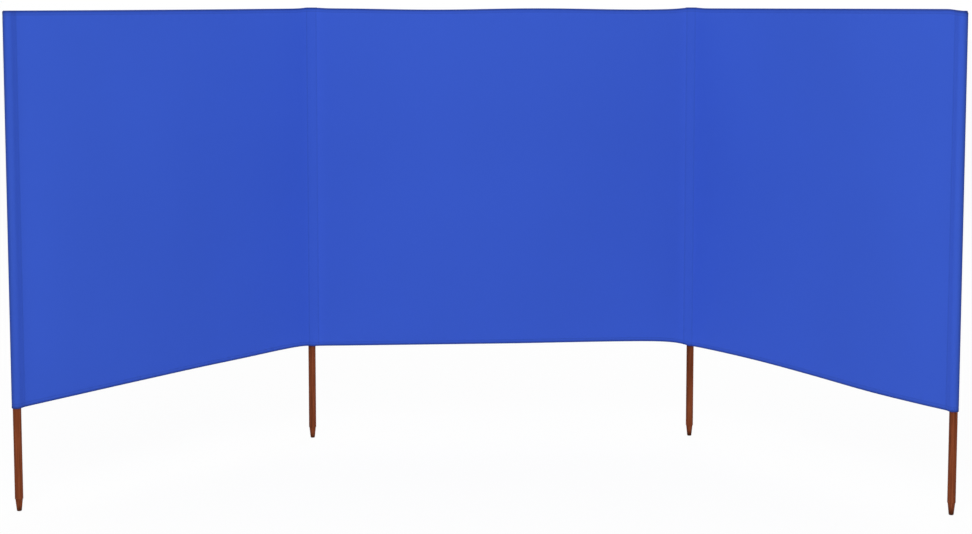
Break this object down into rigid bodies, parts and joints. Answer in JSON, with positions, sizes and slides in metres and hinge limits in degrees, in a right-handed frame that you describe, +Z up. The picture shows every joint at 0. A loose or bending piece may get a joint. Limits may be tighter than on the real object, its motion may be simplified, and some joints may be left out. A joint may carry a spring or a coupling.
{
  "type": "beach windbreak",
  "caption": "Beach windbreak: a strip of plain blue cloth in bays on round stained wooden poles in sewn pockets, with side bays that swing about the inner poles.",
  "frame": {"origin": "centre of the flat end of the left inner pole's tip, which is pushed into the ground", "axes": "+X along the middle bay from the left inner pole to the right one, -Y to the front, where the side bays are turned, +Z up along the poles"},
  "size_m": [2.8242, 1.1846, 1.503],
  "materials": {
    "blue_cloth": "plain woven polyester, slight sheen",
    "stained_wood": "brown-red stain, satin"
  },
  "bodies": {
    "middle_bay": {"left_inner_pole": "stained_wood", "left_inner_pocket": "blue_cloth", "left_inner_pocket_top": "blue_cloth", "right_inner_pole": "stained_wood", "right_inner_pocket": "blue_cloth", "right_inner_pocket_top": "blue_cloth", "middle_panel": "blue_cloth", "middle_top_hem": "blue_cloth", "middle_bottom_hem": "blue_cloth"},
    "left_bay": {"left_end_pole": "stained_wood", "left_end_pocket": "blue_cloth", "left_end_pocket_top": "blue_cloth", "left_panel": "blue_cloth", "left_top_hem": "blue_cloth", "left_bottom_hem": "blue_cloth"},
    "right_bay": {"right_end_pole": "stained_wood", "right_end_pocket": "blue_cloth", "right_end_pocket_top": "blue_cloth", "right_panel": "blue_cloth", "right_top_hem": "blue_cloth", "right_bottom_hem": "blue_cloth"}
  },
  "joints": [
    {"name": "left_bay_swing", "type": "hinge", "parent": "middle_bay", "child": "left_bay", "pos_m": [0, 0, 0], "axis": [0, 0, 1], "range_deg": [-141.5, 38.5]},
    {"name": "right_bay_swing", "type": "hinge", "parent": "middle_bay", "child": "right_bay", "pos_m": [1.325, 0, 0], "axis": [0, 0, -1], "range_deg": [-150.8, 29.2]}
  ]
}
